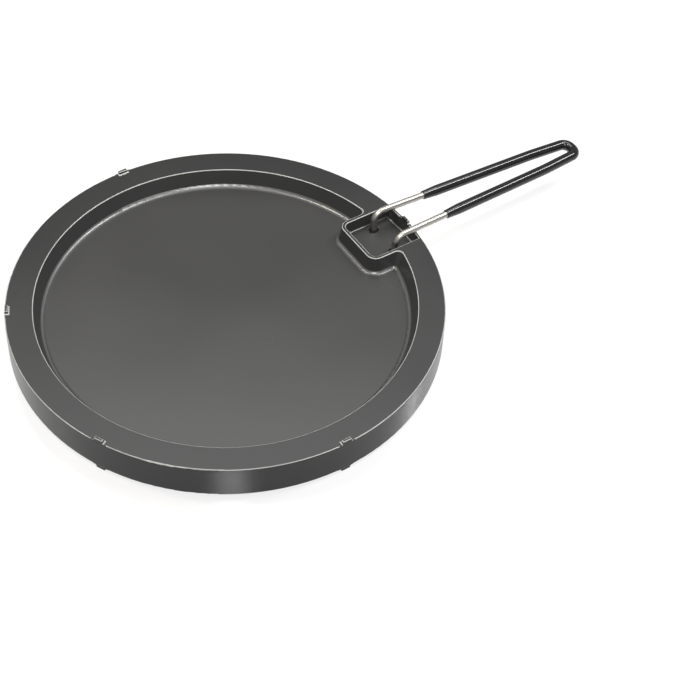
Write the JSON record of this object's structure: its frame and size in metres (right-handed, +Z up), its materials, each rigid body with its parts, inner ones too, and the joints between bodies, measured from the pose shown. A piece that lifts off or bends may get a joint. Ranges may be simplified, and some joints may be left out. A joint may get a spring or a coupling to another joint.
{
  "type": "reversible griddle",
  "caption": "Round cast griddle, a smooth pan on one face and a ribbed grill with a drip gutter on the other, with a tilting wire handle in a soft grip sleeve.",
  "frame": {"origin": "centre of the smooth cooking face", "axes": "+Z up out of the smooth cooking face, +X along the handle, away from the plate"},
  "size_m": [0.4427, 0.292, 0.0336],
  "materials": {
    "nonstick_casting": "cast, with a dark satin non-stick coating",
    "steel_wire": "bright drawn wire",
    "soft_grip": "smooth black soft tube"
  },
  "bodies": {
    "griddle": {"griddle_plate": "nonstick_casting"},
    "handle": {"handle_wire": "steel_wire", "grip_sleeve": "soft_grip"}
  },
  "joints": [
    {"name": "handle_tilt", "type": "hinge", "parent": "griddle", "child": "handle", "pos_m": [0.12187, 0, 0.00045], "axis": [0, -1, 0], "range_deg": [0, 75]}
  ]
}
